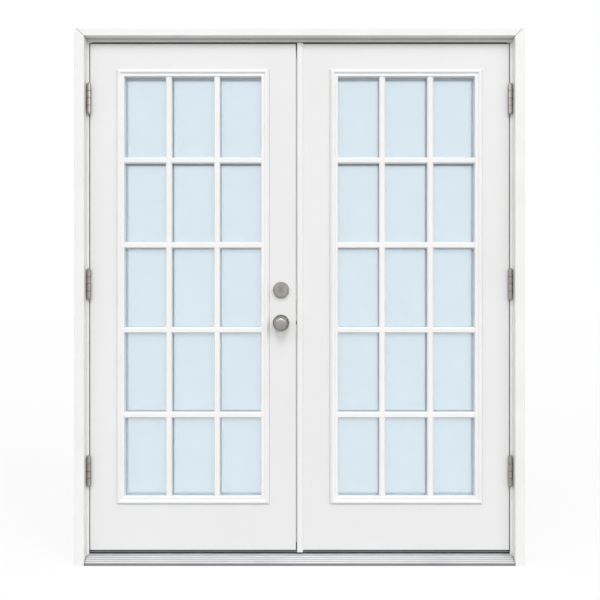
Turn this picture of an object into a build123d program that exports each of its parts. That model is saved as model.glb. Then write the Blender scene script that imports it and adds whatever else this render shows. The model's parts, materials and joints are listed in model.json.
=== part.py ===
from build123d import *
import math
import os

os.makedirs("parts", exist_ok=True)

# French doors: two glazed leaves that open outwards in a timber frame on an aluminium sill.
# Millimetres. Seen from outside, X runs to the right, Z is up and the outside is towards -Y.
# Z = 0 is the floor under the sill. Y = 0 is the wall face, level with the outer leaf faces.

# Leaves
leaf_width = 815.5
leaf_height = 2007.0
leaf_thickness = 44.5
skin = 1.0
skin_return = 15.0
stile_width = 38.0
rail_height = 38.0

# Gaps round the leaves
hinge_gap = 5.0
head_gap = 6.0
floor_gap = 3.0
meeting_gap = 29.0
stop_gap = 4.5
fit = 0.3
touch = 0.05
cut_over = 1.0

# Jambs
jamb_thickness = 19.0
jamb_depth = 116.0
stop_height = 12.7
kerf_width = 3.0
kerf_depth = 8.0
kerf_inset = 6.0
fixing_hole = 6.5
fixing_lowest = 230.0
fixing_pitch = 500.0
fixing_count = 4
fixing_depth = 24.0

# Casing
casing_thickness = 32.0
side_casing_width = 38.0
head_casing_width = 29.0
side_reveal = 8.6
head_reveal = 13.0
casing_arris = 1.2
casing_outer_arris = 1.5
relief_width = 3.0
relief_depth = 1.0

# Sill
nose_height = 10.0
deck_rise = 33.5
saddle_height = 45.0
lip_thickness = 5.0
undercut_depth = 5.0
bumper_height = 58.0
sill_back = 112.0
back_slope = 14.0
back_height = 44.0
deck_wall = 2.0
ear_back = -10.0
rib_count = 5
rib_width = 4.0
rib_height = 1.4
rib_margin = 3.3

# Seals
seal_width = 10.0
seal_shoulder = 0.45
barb_width = 2.4
barb_depth = 7.0
bumper_seal_height = 8.0
sweep_wall = 1.0
sweep_fin = 2.0
sweep_pitch = 8.0
sweep_fin_count = 3
sweep_clearance = 0.6

# Glazed panel
lite_side_margin = 106.25
lite_rise = 183.4
lite_drop = 100.6
lite_cover = 20.0
leg_gap = 0.5
leg_width = 5.0
lip = 32.0
glass_inset = 26.0
glass_unit = 25.0
pane = 3.0
spacer_inset = 1.0
spacer_width = 4.5
muntin_base = 24.0
muntin_face = 16.0
muntin_height = 6.0
muntin_bevel = 4.0
grille_columns = 3
grille_rows = 5
grille_side = 15.3
grille_end = 21.5
grille_drop = 4.5
bead_edge = 2.5
bead_slope = 8.0
bead_width = 6.0
bead_height = 11.0
groove_start = 19.5
groove_end = 21.0
groove_height = 6.0
inner_bead_start = 22.5
inner_bead_end = 30.0
inner_bead_height = 8.0
lip_height = -2.0
bead_round = 2.5
soft_round = 1.2
lite_screw_pitch = 300.0

# Hinges
hinge_length = 114.3
barrel_radius = 8.0
pin_radius = 4.0
pin_forward = 9.0
knuckle_count = 4
knuckle_gap = 0.4
plate_thickness = 2.5
plate_depth = 38.0
plate_screw_near = 12.0
plate_screw_far = 10.0
plate_screw_end = 12.5
top_hinge_drop = 219.5
middle_hinge_rise = 1055.0
bottom_hinge_rise = 316.0
cap_radius = 7.5
cap_height = 5.0
cap_taper = 3.5

# Screws
screw_radius = 2.1
screw_head_radius = 4.3
screw_head_height = 2.4
hinge_screw_length = 17.5
screw_slot = 1.2
screw_slot_share = 0.6
screw_slot_depth = 1.3
lite_screw_radius = 1.4
lite_screw_head_radius = 3.0
lite_screw_length = 38.0
lite_screw_sink = 4.0
lite_screw_slot_depth = 0.65

# Lockset
knob_rise = 901.5
lock_spacing = 130.0
backset = 59.0
cross_bore = 27.0
edge_bore = 12.7
case_radius = 12.3
case_length = 74.0
faceplate_width = 25.4
faceplate_height = 57.0
faceplate_thickness = 2.5
lock_block_clearance = 26.0
lock_block_margin = 60.0
hub_radius = 6.5
rose_radius = 33.0
rose_thickness = 9.0
rose_rim = 3.0
neck_radius = 13.0
knob_radius = 27.0
knob_reach = 62.0
knob_length = 38.0
knob_front_radius = 19.0
knob_front_dome = 3.5
spindle_width = 8.0
spindle_grip = 14.0
latch_height = 14.0
latch_depth = 12.5
latch_length = 34.0
latch_throw = 11.0
latch_tip = 3.0
bolt_end_play = 1.0
bolt_height = 17.0
bolt_depth = 12.5
bolt_length = 46.0
bolt_play = 0.2
collar_base_radius = 32.5
collar_face_radius = 25.0
collar_height = 16.0
collar_rim = 2.0
plug_radius = 7.5
plug_length = 20.0
keyway_width = 1.8
keyway_height = 9.0
keyway_depth = 8.0
cover_radius = 32.0
cover_height = 11.0
turn_neck_radius = 8.0
turn_width = 14.0
turn_length = 38.0
turn_height = 16.0
tail_width = 6.0
tail_thickness = 2.0

# Astragal on the meeting edge of the inactive leaf
astragal_gap = 4.0
astragal_proud = 4.0
astragal_chamfer = 1.8
astragal_step = 1.5
astragal_floor_gap = 2.0
astragal_drip = 4.0
astragal_clearance = 0.5
astragal_corner = 4.0
astragal_head_gap = 3.0
channel_width = 13.0
channel_depth = 13.0
channel_wall = 3.5
strike_thickness = 1.5
strike_width = 28.0
strike_height = 60.0
strike_play = 2.0
pocket_play = 1.5
flush_bolt_length = 260.0
flush_bolt_travel = 18.0
thumb_depth = 5.0
thumb_height = 24.0
thumb_proud = 0.8
thumb_from_end = 200.0
bulb_width = 6.0
bulb_from_face = 1.0
bulb_height = 1.6

# Worked out from the sizes above
leaf_bottom = saddle_height + floor_gap
leaf_top = leaf_bottom + leaf_height
leaf_middle = leaf_thickness / 2
lock_edge = meeting_gap / 2
hinge_edge = lock_edge + leaf_width
leaf_centre = (lock_edge + hinge_edge) / 2
half_opening = hinge_edge + hinge_gap
head_level = leaf_top + head_gap
jamb_outer = half_opening + jamb_thickness
stop_face = leaf_thickness + stop_gap
stop_edge = half_opening - stop_height
head_stop_edge = head_level - stop_height
casing_inner = half_opening + side_reveal
casing_outer = casing_inner + side_casing_width
casing_lower = head_level + head_reveal
casing_top = casing_lower + head_casing_width
lite_width = leaf_width - 2 * lite_side_margin
lite_height = leaf_height - lite_rise - lite_drop
lite_bottom = leaf_bottom + lite_rise
lite_top = lite_bottom + lite_height
lite_level = (lite_bottom + lite_top) / 2
glass_face = (leaf_thickness - glass_unit) / 2
pin_across = half_opening - hinge_gap / 2
knuckle = (hinge_length - (knuckle_count - 1) * knuckle_gap) / knuckle_count
hinge_levels = (
    leaf_bottom + bottom_hinge_rise,
    leaf_bottom + middle_hinge_rise,
    leaf_top - top_hinge_drop,
)
knob_level = leaf_bottom + knob_rise
deadbolt_level = knob_level + lock_spacing
lock_across = -(lock_edge + backset)
seal_thickness = stop_gap - fit
left, right = -1, 1
sides = (left, right)
outside = Plane.XZ
inside = Plane(origin=(0, leaf_thickness, 0), x_dir=(-1, 0, 0), z_dir=(0, 1, 0))


def save(piece, name):
    piece.part.label = name
    export_step(piece.part, f"parts/{name}.step")


def block(x, y, z, mode=Mode.ADD):
    # A box between two values of each axis, in either order
    with Locations((sum(x) / 2, sum(y) / 2, sum(z) / 2)):
        Box(abs(x[1] - x[0]), abs(y[1] - y[0]), abs(z[1] - z[0]), mode=mode)


def rod_along_y(x, z, radius, y, mode=Mode.ADD):
    # A round rod through the leaf thickness
    with BuildSketch(Plane.XZ.offset(-max(y))) as circle:
        with Locations((x, z)):
            Circle(radius)
    extrude(circle.sketch, amount=max(y) - min(y), mode=mode)


def rod_along_x(y, z, radius, x, mode=Mode.ADD):
    # A round rod across the leaf
    with BuildSketch(Plane.YZ.offset(min(x))) as circle:
        with Locations((y, z)):
            Circle(radius)
    extrude(circle.sketch, amount=max(x) - min(x), mode=mode)


def leaf_span(side, near_edge, far_edge):
    # X range from insets at the meeting edge and the hinge edge
    return side * (lock_edge + near_edge), side * (hinge_edge - far_edge)


def lite_span(side, inset):
    # X range of the glazed panel, drawn in by an inset
    half = lite_width / 2 - inset
    return side * leaf_centre - half, side * leaf_centre + half


def lite_levels(inset):
    return lite_bottom + inset, lite_top - inset


def plate_screw_points():
    # The four screws of a hinge plate, in even rows: depth from the face, height from the centre
    near, far = plate_screw_near, plate_depth - plate_screw_far
    outer_row = hinge_length / 2 - plate_screw_end
    return ((far, outer_row), (near, outer_row / 3), (near, -outer_row / 3), (far, -outer_row))


def hinge_screw_places(across, heads_to, side):
    # Where the heads of the hinge screws sit, on the plates at one distance from the centre
    places = []
    for level in hinge_levels:
        for depth, height in plate_screw_points():
            head = Plane(origin=(side * across, depth, level + height), z_dir=(heads_to * side, 0, 0))
            places.append(head.location)
    return places


def lite_screw_places(side):
    # Screws run through the legs of the inner lite frame, evenly along each side
    legs = lite_cover + leg_gap + leg_width / 2
    half_width = lite_width / 2 - legs
    half_height = lite_height / 2 - legs
    tall_count = int(lite_height // lite_screw_pitch)
    heads_y = leaf_thickness + inner_bead_height - lite_screw_sink
    spots = []
    for k in range(tall_count):
        up = -half_height + (k + 0.5) * 2 * half_height / tall_count
        spots += [(-half_width, up), (half_width, up)]
    for across in (-half_width / 2, half_width / 2):
        spots += [(across, -half_height), (across, half_height)]
    return [
        Plane(origin=(side * leaf_centre + x, heads_y, lite_level + z), z_dir=(0, 1, 0)).location
        for x, z in spots
    ]


def place_copies(piece, places, mode=Mode.ADD):
    with Locations(*places):
        add(piece.part, mode=mode)


# Screws, head up at the origin, and the holes they take
def screw_body(radius, head_radius, head_height, length):
    with BuildSketch(Plane.XZ) as outline:
        with BuildLine():
            Polyline(
                (0, 0),
                (head_radius, 0),
                (radius, -head_height),
                (radius, -length + radius),
                (0, -length),
                close=True,
            )
        make_face()
    revolve(outline.sketch, axis=Axis.Z)


def cross_recess(head_radius, depth):
    for turn in (0, 90):
        with Locations(Location((0, 0, 0), (0, 0, turn))):
            Box(2 * screw_slot_share * head_radius, screw_slot, 2 * depth, mode=Mode.SUBTRACT)


with BuildPart() as hinge_screw:
    screw_body(screw_radius, screw_head_radius, screw_head_height, hinge_screw_length)
    cross_recess(screw_head_radius, screw_slot_depth)

with BuildPart() as hinge_screw_hole:
    screw_body(
        screw_radius + touch, screw_head_radius + touch, screw_head_height, hinge_screw_length + fit
    )

with BuildPart() as lite_screw:
    screw_body(lite_screw_radius, lite_screw_head_radius, lite_screw_radius, lite_screw_length)
    cross_recess(lite_screw_head_radius, lite_screw_slot_depth)

with BuildPart() as lite_screw_hole:
    screw_body(
        lite_screw_radius + touch, lite_screw_head_radius + touch, lite_screw_radius,
        lite_screw_length + fit,
    )
    with Locations((0, 0, lite_screw_sink)):
        Cylinder(lite_screw_head_radius + touch, 2 * lite_screw_sink)


# Side jambs, rabbeted for the leaves, with a kerf in the stop for the weatherstrip
def side_jamb(side, name):
    with BuildPart() as jamb:
        with BuildSketch():
            with BuildLine():
                Polyline(
                    (side * half_opening, 0),
                    (side * jamb_outer, 0),
                    (side * jamb_outer, jamb_depth),
                    (side * stop_edge, jamb_depth),
                    (side * stop_edge, stop_face),
                    (side * half_opening, stop_face),
                    close=True,
                )
            make_face()
        extrude(amount=head_level)
        kerf_at = half_opening - kerf_inset
        kerf_x = (side * (kerf_at - kerf_width / 2), side * (kerf_at + kerf_width / 2))
        block(kerf_x, (stop_face, stop_face + kerf_depth), (0, head_stop_edge), Mode.SUBTRACT)
        for level in hinge_levels:
            plate_x = (side * half_opening, side * (half_opening + plate_thickness))
            plate_z = (level - hinge_length / 2, level + hinge_length / 2)
            block(plate_x, (0, plate_depth), plate_z, Mode.SUBTRACT)
        for k in range(fixing_count):
            bolt_level = fixing_lowest + k * fixing_pitch
            through_x = (side * half_opening, side * jamb_outer)
            rod_along_x(fixing_depth, bolt_level, fixing_hole / 2, through_x, Mode.SUBTRACT)
        place_copies(hinge_screw_hole, hinge_screw_places(half_opening, -1, side), Mode.SUBTRACT)
    save(jamb, name)


side_jamb(left, "left_jamb")
side_jamb(right, "right_jamb")

# Head jamb, resting on the side jambs, with the top bolt hole
channel_centre_x = lock_edge - channel_wall - channel_width / 2
channel_x = (channel_centre_x - channel_width / 2, channel_centre_x + channel_width / 2)
channel_y = (leaf_middle - channel_depth / 2, leaf_middle + channel_depth / 2)
with BuildPart() as head_jamb:
    block((-jamb_outer, jamb_outer), (0, jamb_depth), (head_level, head_level + jamb_thickness))
    block((-stop_edge, stop_edge), (stop_face, jamb_depth), (head_stop_edge, head_level))
    kerf_at = head_level - kerf_inset
    kerf_z = (kerf_at - kerf_width / 2, kerf_at + kerf_width / 2)
    block((-stop_edge, stop_edge), (stop_face, stop_face + kerf_depth), kerf_z, Mode.SUBTRACT)
    block(channel_x, channel_y, (head_level, head_level + jamb_thickness), Mode.SUBTRACT)
save(head_jamb, "head_jamb")


# Casing, mitred at the top corners
def casing_section(edge_in, edge_out):
    # Corners of the section as distance from the opening and depth, arrises eased
    front = -casing_thickness
    return [
        (edge_in, 0),
        (edge_in, front + casing_arris),
        (edge_in + casing_arris, front),
        (edge_out - casing_outer_arris, front),
        (edge_out, front + casing_outer_arris),
        (edge_out, 0),
    ]


mitre_reach = casing_inner + head_casing_width


def side_casing(side, name):
    with BuildPart() as casing:
        with BuildSketch():
            with BuildLine():
                corners = casing_section(casing_inner, casing_outer)
                Polyline([(side * x, y) for x, y in corners], close=True)
            make_face()
        extrude(amount=casing_top)
        with BuildSketch(Plane.XZ.offset(casing_thickness)):
            with BuildLine():
                Polyline(
                    (side * casing_inner, casing_lower),
                    (side * mitre_reach, casing_top),
                    (side * casing_inner, casing_top),
                    close=True,
                )
            make_face()
        extrude(amount=-casing_thickness, mode=Mode.SUBTRACT)
        relief_x = (side * jamb_outer, side * (jamb_outer + relief_width))
        block(relief_x, (-relief_depth, 0), (0, casing_top), Mode.SUBTRACT)
    save(casing, name)


side_casing(left, "left_brickmould")
side_casing(right, "right_brickmould")

with BuildPart() as head_brickmould:
    with BuildSketch(Plane.YZ.offset(-mitre_reach)):
        with BuildLine():
            corners = casing_section(casing_lower, casing_top)
            Polyline([(y, z) for z, y in corners], close=True)
        make_face()
    extrude(amount=2 * mitre_reach)
    for side in sides:
        with BuildSketch(Plane.XZ.offset(casing_thickness)):
            with BuildLine():
                Polyline(
                    (side * casing_inner, casing_lower),
                    (side * mitre_reach, casing_top),
                    (side * mitre_reach, casing_lower),
                    close=True,
                )
            make_face()
        extrude(amount=-casing_thickness, mode=Mode.SUBTRACT)
    relief_z = (head_level + jamb_thickness, head_level + jamb_thickness + relief_width)
    block((-mitre_reach, mitre_reach), (-relief_depth, 0), relief_z, Mode.SUBTRACT)
save(head_brickmould, "head_brickmould")

# Sill: an aluminium deck over a composite substrate
slope_angle = math.degrees(math.atan2(deck_rise - nose_height, casing_thickness))
slope_length = math.hypot(deck_rise - nose_height, casing_thickness)
rib_pitch = (slope_length - 2 * rib_margin) / (rib_count - 1)
with BuildSketch(Plane.YZ) as sill_outline:
    with BuildLine():
        Polyline(
            (-casing_thickness, 0),
            (-casing_thickness, nose_height),
            (0, deck_rise),
            (undercut_depth, deck_rise),
            (undercut_depth, saddle_height - lip_thickness),
            (0, saddle_height - lip_thickness),
            (0, saddle_height),
            (stop_face, saddle_height),
            (stop_face, bumper_height),
            (sill_back - back_slope, bumper_height),
            (sill_back, back_height),
            (sill_back, 0),
            close=True,
        )
    make_face()
with BuildSketch(Plane.YZ) as substrate_section:
    add(sill_outline.sketch_local)
    offset(amount=-deck_wall, mode=Mode.REPLACE)
    with Locations(((sill_back - casing_thickness) / 2, deck_wall)):
        Rectangle(sill_back + casing_thickness - 2 * deck_wall, 2 * deck_wall)
    with Locations(((undercut_depth + deck_wall) / 2, saddle_height)):
        lip_void = saddle_height - deck_rise + deck_wall
        Rectangle(undercut_depth + deck_wall, 2 * lip_void, mode=Mode.SUBTRACT)
with BuildSketch(Plane.YZ) as deck_section:
    add(sill_outline.sketch_local)
    add(substrate_section.sketch_local, mode=Mode.SUBTRACT)
    for k in range(rib_count):
        along = rib_margin + k * rib_pitch
        rib_y = -casing_thickness + along * math.cos(math.radians(slope_angle))
        rib_z = nose_height + along * math.sin(math.radians(slope_angle))
        with Locations(Location((rib_y, rib_z), slope_angle)):
            Rectangle(rib_width, 2 * rib_height)


def cut_sill_ends():
    # Clear the side jambs and their stops at both ends
    for side in sides:
        end = side * (casing_inner + cut_over)
        full_z = (-cut_over, bumper_height + cut_over)
        block((side * half_opening, end), (ear_back, stop_face), full_z, Mode.SUBTRACT)
        block((side * stop_edge, end), (stop_face, sill_back + cut_over), full_z, Mode.SUBTRACT)


bolt_hole_floor = saddle_height - flush_bolt_travel - floor_gap / 2
with BuildPart() as sill_deck:
    extrude(deck_section.sketch, amount=casing_inner, both=True)
    cut_sill_ends()
    block(channel_x, channel_y, (bolt_hole_floor, saddle_height), Mode.SUBTRACT)
save(sill_deck, "sill_deck")

with BuildPart() as sill_substrate:
    extrude(substrate_section.sketch, amount=casing_inner, both=True)
    cut_sill_ends()
    for side in sides:
        end_x = (side * (casing_inner - deck_wall), side * (casing_inner + cut_over))
        block(end_x, (-casing_thickness, ear_back), (-cut_over, deck_rise), Mode.SUBTRACT)
    block(channel_x, channel_y, (bolt_hole_floor, saddle_height), Mode.SUBTRACT)
save(sill_substrate, "sill_substrate")


# Seals that the leaves close against
def seal_section(start, back, width, thickness, towards_leaf):
    # A D shape: flat on its carrier, crowned towards the leaf
    front = back + towards_leaf * thickness
    shoulder = back + towards_leaf * thickness * seal_shoulder
    with BuildLine() as section:
        Polyline((start, shoulder), (start, back), (start + width, back), (start + width, shoulder))
        ThreePointArc((start + width, shoulder), (start + width / 2, front), (start, shoulder))
    make_face(section.edges())


with BuildPart() as jamb_weatherstrips:
    for side in sides:
        with BuildSketch(Plane.XY.offset(saddle_height + touch)) as strip:
            seal_start = side * (half_opening - kerf_inset) - seal_width / 2
            seal_section(seal_start, stop_face, seal_width, seal_thickness, -1)
            with Locations((side * (half_opening - kerf_inset), stop_face + barb_depth / 2)):
                Rectangle(barb_width, barb_depth)
        extrude(strip.sketch, amount=head_stop_edge - saddle_height - fit)
    head_strip_z = head_level - kerf_inset
    strip_length = 2 * stop_edge - 2 * fit
    with BuildSketch(Plane(origin=(-strip_length / 2, 0, 0), x_dir=(0, 0, 1), z_dir=(1, 0, 0))) as strip:
        seal_section(head_strip_z - seal_width / 2, -stop_face, seal_width, seal_thickness, 1)
        with Locations((head_strip_z, -stop_face - barb_depth / 2)):
            Rectangle(barb_width, barb_depth)
    extrude(strip.sketch, amount=strip_length)
save(jamb_weatherstrips, "jamb_weatherstrips")

with BuildPart() as bumper_seal:
    with BuildSketch(Plane(origin=(-stop_edge, 0, 0), x_dir=(0, 0, 1), z_dir=(1, 0, 0))) as strip:
        seal_section(
            bumper_height - bumper_seal_height - touch, -stop_face, bumper_seal_height,
            seal_thickness, 1,
        )
    extrude(strip.sketch, amount=2 * stop_edge)
save(bumper_seal, "bumper_seal")


# Hinges: knuckles alternate between the jamb leaf and the door leaf
def hinge_half(side, level, plate_near, own_knuckles):
    top = level + hinge_length / 2
    plate_x = (side * plate_near, side * (plate_near + plate_thickness))
    block(plate_x, (0, plate_depth), (level - hinge_length / 2, top))
    for k in own_knuckles:
        knuckle_top = top - k * (knuckle + knuckle_gap)
        block(plate_x, (-pin_forward, 0), (knuckle_top - knuckle, knuckle_top))
        with Locations((side * pin_across, -pin_forward, knuckle_top - knuckle / 2)):
            Cylinder(barrel_radius, knuckle)


def bore_pins(side):
    for level in hinge_levels:
        with Locations((side * pin_across, -pin_forward, level)):
            Cylinder(pin_radius + touch, hinge_length + cut_over, mode=Mode.SUBTRACT)


with BuildPart() as jamb_hinge_leaves:
    for side in sides:
        for level in hinge_levels:
            hinge_half(side, level, half_opening, range(0, knuckle_count, 2))
        bore_pins(side)
        place_copies(hinge_screw_hole, hinge_screw_places(half_opening, -1, side), Mode.SUBTRACT)
save(jamb_hinge_leaves, "jamb_hinge_leaves")

with BuildPart() as jamb_hinge_screws:
    for side in sides:
        place_copies(hinge_screw, hinge_screw_places(half_opening, -1, side))
save(jamb_hinge_screws, "jamb_hinge_screws")

with BuildPart() as pin:
    with BuildSketch(Plane.XZ) as pin_outline:
        half_pin = hinge_length / 2
        with BuildLine():
            Polyline(
                (0, -half_pin - knuckle_gap - cap_height),
                (cap_radius - cap_taper, -half_pin - knuckle_gap - cap_height),
                (cap_radius, -half_pin - knuckle_gap - cap_height + cap_taper),
                (cap_radius, -half_pin - knuckle_gap),
                (pin_radius, -half_pin - knuckle_gap),
                (pin_radius, half_pin),
                (cap_radius, half_pin),
                (cap_radius, half_pin + cap_height - cap_taper),
                (cap_radius - cap_taper, half_pin + cap_height),
                (0, half_pin + cap_height),
                close=True,
            )
        make_face()
    revolve(axis=Axis.Z)

with BuildPart() as hinge_pins:
    place_copies(
        pin,
        [
            Location((side * pin_across, -pin_forward, level))
            for side in sides
            for level in hinge_levels
        ],
    )
save(hinge_pins, "hinge_pins")

# Section of a lite frame: distance in from its outer edge, height off the leaf face
glass_depth = -glass_face
leg_start = lite_cover + leg_gap
leg_end = leg_start + leg_width
lite_section = [
    (0, 0),
    (0, bead_edge),
    (bead_slope, bead_height),
    (bead_slope + bead_width, bead_height),
    (groove_start, groove_height),
    (groove_end, groove_height),
    (inner_bead_start, inner_bead_height),
    (inner_bead_end, inner_bead_height),
    (lip, lip_height),
    (lip, glass_depth),
    (leg_end, glass_depth),
    (leg_end, -leaf_middle + touch),
    (leg_start, -leaf_middle + touch),
    (leg_start, 0),
]
bead_corners = lite_section[2:4]
soft_corners = lite_section[4:9]
muntin_profile = [
    (-muntin_base / 2, glass_depth),
    (-muntin_base / 2, muntin_height - muntin_bevel),
    (-muntin_face / 2, muntin_height),
    (muntin_face / 2, muntin_height),
    (muntin_base / 2, muntin_height - muntin_bevel),
    (muntin_base / 2, glass_depth),
]
muntin_spacing = (lite_width - 2 * grille_side) / grille_columns
muntin_pitch = (lite_height - 2 * grille_end) / grille_rows
grille_level = lite_level - grille_drop
row_levels = [grille_level + (k - (grille_rows - 2) / 2) * muntin_pitch for k in range(grille_rows - 1)]
column_offsets = [(k - (grille_columns - 2) / 2) * muntin_spacing for k in range(grille_columns - 1)]


def mitred_bar(centre, reach, half_run):
    # One side of a lite frame: the section run along the edge below the centre, ends mitred
    start = centre.from_local_coords((0, -reach, 0))
    with BuildPart() as bar:
        with BuildSketch(Plane(origin=start, x_dir=centre.y_dir, z_dir=centre.x_dir)) as section:
            with BuildLine():
                Polyline(lite_section, close=True)
            make_face()
            for points, radius in ((bead_corners, bead_round), (soft_corners, soft_round)):
                for point in points:
                    fillet(section.vertices().sort_by_distance(point)[0], radius)
        extrude(amount=half_run, both=True)
        for end in sides:
            corner = centre.from_local_coords((end * half_run, -reach, 0))
            mitre = Plane(origin=corner, z_dir=centre.x_dir * end + centre.y_dir)
            split(bisect_by=mitre, keep=Keep.BOTTOM)
    return bar.part


# Lite frame and its grille, moulded in one piece
def lite_frame(side, face, name):
    centre = side * leaf_centre
    out = face.z_dir.Y
    face_y = face.origin.Y
    half_width, half_height = lite_width / 2, lite_height / 2
    bars = []
    for turn in sides:
        for along, reach, half_run in (
            (face.x_dir * turn, half_height, half_width),
            (Vector(0, 0, turn), half_width, half_height),
        ):
            middle = Plane(origin=(centre, face_y, lite_level), x_dir=along, z_dir=face.z_dir)
            bars.append(mitred_bar(middle, reach, half_run))
    with BuildPart() as frame:
        add(bars)
        low, high = lite_levels(inner_bead_end)
        near, far = sorted(lite_span(side, inner_bead_end))
        for offset_x in column_offsets:
            with BuildSketch(Plane.XY.offset(low)):
                with BuildLine():
                    bar = [(centre + offset_x + u, face_y + out * v) for u, v in muntin_profile]
                    Polyline(bar, close=True)
                make_face()
            extrude(amount=high - low)
        for level in row_levels:
            with BuildSketch(Plane.YZ.offset(near)):
                with BuildLine():
                    Polyline([(face_y + out * v, level + u) for u, v in muntin_profile], close=True)
                make_face()
            extrude(amount=far - near)
        place_copies(lite_screw_hole, lite_screw_places(side), Mode.SUBTRACT)
    save(frame, name)


# Cuts that the hinges and the lockset need in the pieces of a leaf
def cut_hinge_pockets(side):
    for level in hinge_levels:
        plate_x = (side * (hinge_edge - plate_thickness), side * hinge_edge)
        plate_z = (level - hinge_length / 2, level + hinge_length / 2)
        block(plate_x, (0, plate_depth), plate_z, Mode.SUBTRACT)
    place_copies(hinge_screw_hole, hinge_screw_places(hinge_edge, 1, side), Mode.SUBTRACT)


faceplate_x = (-lock_edge, -lock_edge - faceplate_thickness)
faceplate_y = (leaf_middle - faceplate_width / 2, leaf_middle + faceplate_width / 2)


def cut_lock_bores():
    for level in (knob_level, deadbolt_level):
        rod_along_y(lock_across, level, cross_bore, (0, leaf_thickness), Mode.SUBTRACT)
        rod_along_x(leaf_middle, level, edge_bore, (lock_across, -lock_edge), Mode.SUBTRACT)
        plate_z = (level - faceplate_height / 2, level + faceplate_height / 2)
        block(faceplate_x, faceplate_y, plate_z, Mode.SUBTRACT)


# Steel skin: a pressed sheet with returns along both upright edges
def leaf_skin(side, leaf, place, face_y, inward):
    with BuildPart() as sheet:
        block(leaf_span(side, 0, 0), (face_y, face_y + inward * skin), (leaf_bottom, leaf_top))
        return_y = (face_y, face_y + inward * skin_return)
        lock_return = (side * lock_edge, side * (lock_edge + skin))
        hinge_return = (side * (hinge_edge - skin), side * hinge_edge)
        for return_x in (lock_return, hinge_return):
            block(return_x, return_y, (leaf_bottom, leaf_top))
        cutout_y = (0, leaf_thickness)
        block(lite_span(side, lite_cover), cutout_y, lite_levels(lite_cover), Mode.SUBTRACT)
        cut_hinge_pockets(side)
        if side == left:
            cut_lock_bores()
    save(sheet, f"{leaf}_{place}_skin")


def stile(side, edge, inward, name):
    # Timber between the skins, its middle standing out flush with their returns
    returns = leaf_thickness - skin_return
    with BuildPart() as upright:
        with BuildSketch(Plane.XY.offset(leaf_bottom)):
            with BuildLine():
                outline = [
                    (skin, skin),
                    (stile_width, skin),
                    (stile_width, leaf_thickness - skin),
                    (skin, leaf_thickness - skin),
                    (skin, returns),
                    (0, returns),
                    (0, skin_return),
                    (skin, skin_return),
                ]
                Polyline([(side * (edge + inward * x), y) for x, y in outline], close=True)
            make_face()
        extrude(amount=leaf_height)
        if edge == hinge_edge:
            cut_hinge_pockets(side)
        elif side == left:
            cut_lock_bores()
    save(upright, name)


between_skins = (skin, leaf_thickness - skin)
block_edge = lock_edge + lite_side_margin + lite_cover - lock_block_clearance
block_x = (-lock_edge - stile_width, -block_edge)
block_z = (knob_level - lock_block_margin, deadbolt_level + lock_block_margin)


def leaf_rails(side, leaf):
    with BuildPart() as rails:
        rail_x = leaf_span(side, stile_width, stile_width)
        block(rail_x, between_skins, (leaf_bottom, leaf_bottom + rail_height))
        block(rail_x, between_skins, (leaf_top - rail_height, leaf_top))
    save(rails, f"{leaf}_rails")


def leaf_core(side, leaf):
    with BuildPart() as core:
        core_z = (leaf_bottom + rail_height, leaf_top - rail_height)
        block(leaf_span(side, stile_width, stile_width), between_skins, core_z)
        block(lite_span(side, lite_cover), between_skins, lite_levels(lite_cover), Mode.SUBTRACT)
        if side == left:
            block(block_x, between_skins, block_z, Mode.SUBTRACT)
    save(core, f"{leaf}_core")


def glass(side, leaf):
    glass_x, glass_z = lite_span(side, glass_inset), lite_levels(glass_inset)
    back = glass_face + glass_unit
    with BuildPart() as outer_pane:
        block(glass_x, (glass_face, glass_face + pane), glass_z)
    save(outer_pane, f"{leaf}_outer_pane")
    with BuildPart() as inner_pane:
        block(glass_x, (back - pane, back), glass_z)
    save(inner_pane, f"{leaf}_inner_pane")
    with BuildPart() as spacer:
        bar_y = (glass_face + pane, back - pane)
        bar_outer = glass_inset + spacer_inset
        bar_inner = bar_outer + spacer_width
        block(lite_span(side, bar_outer), bar_y, lite_levels(bar_outer))
        block(lite_span(side, bar_inner), bar_y, lite_levels(bar_inner), Mode.SUBTRACT)
    save(spacer, f"{leaf}_glass_spacer")


def bottom_sweep(side, leaf):
    near, far = sorted(leaf_span(side, sweep_wall, sweep_wall))
    fin_height = floor_gap - sweep_wall - sweep_clearance
    with BuildPart() as sweep_strip:
        with BuildSketch(Plane.YZ.offset(near)):
            with Locations((leaf_middle, leaf_bottom - sweep_wall / 2)):
                Rectangle((sweep_fin_count - 1) * sweep_pitch + sweep_fin, sweep_wall)
            with Locations((leaf_middle, leaf_bottom - sweep_wall - fin_height / 2)):
                with GridLocations(sweep_pitch, 0, sweep_fin_count, 1):
                    Rectangle(sweep_fin, fin_height)
        extrude(amount=far - near)
    save(sweep_strip, f"{leaf}_bottom_sweep")


def leaf_hinges(side, leaf):
    with BuildPart() as hinge_leaves:
        for level in hinge_levels:
            hinge_half(side, level, hinge_edge - plate_thickness, range(1, knuckle_count, 2))
        bore_pins(side)
        place_copies(hinge_screw_hole, hinge_screw_places(hinge_edge, 1, side), Mode.SUBTRACT)
    save(hinge_leaves, f"{leaf}_hinge_leaves")


def leaf_screws(side, leaf):
    with BuildPart() as hinge_screws:
        place_copies(hinge_screw, hinge_screw_places(hinge_edge, 1, side))
    save(hinge_screws, f"{leaf}_hinge_screws")
    with BuildPart() as lite_screws:
        place_copies(lite_screw, lite_screw_places(side))
    save(lite_screws, f"{leaf}_lite_screws")


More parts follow.
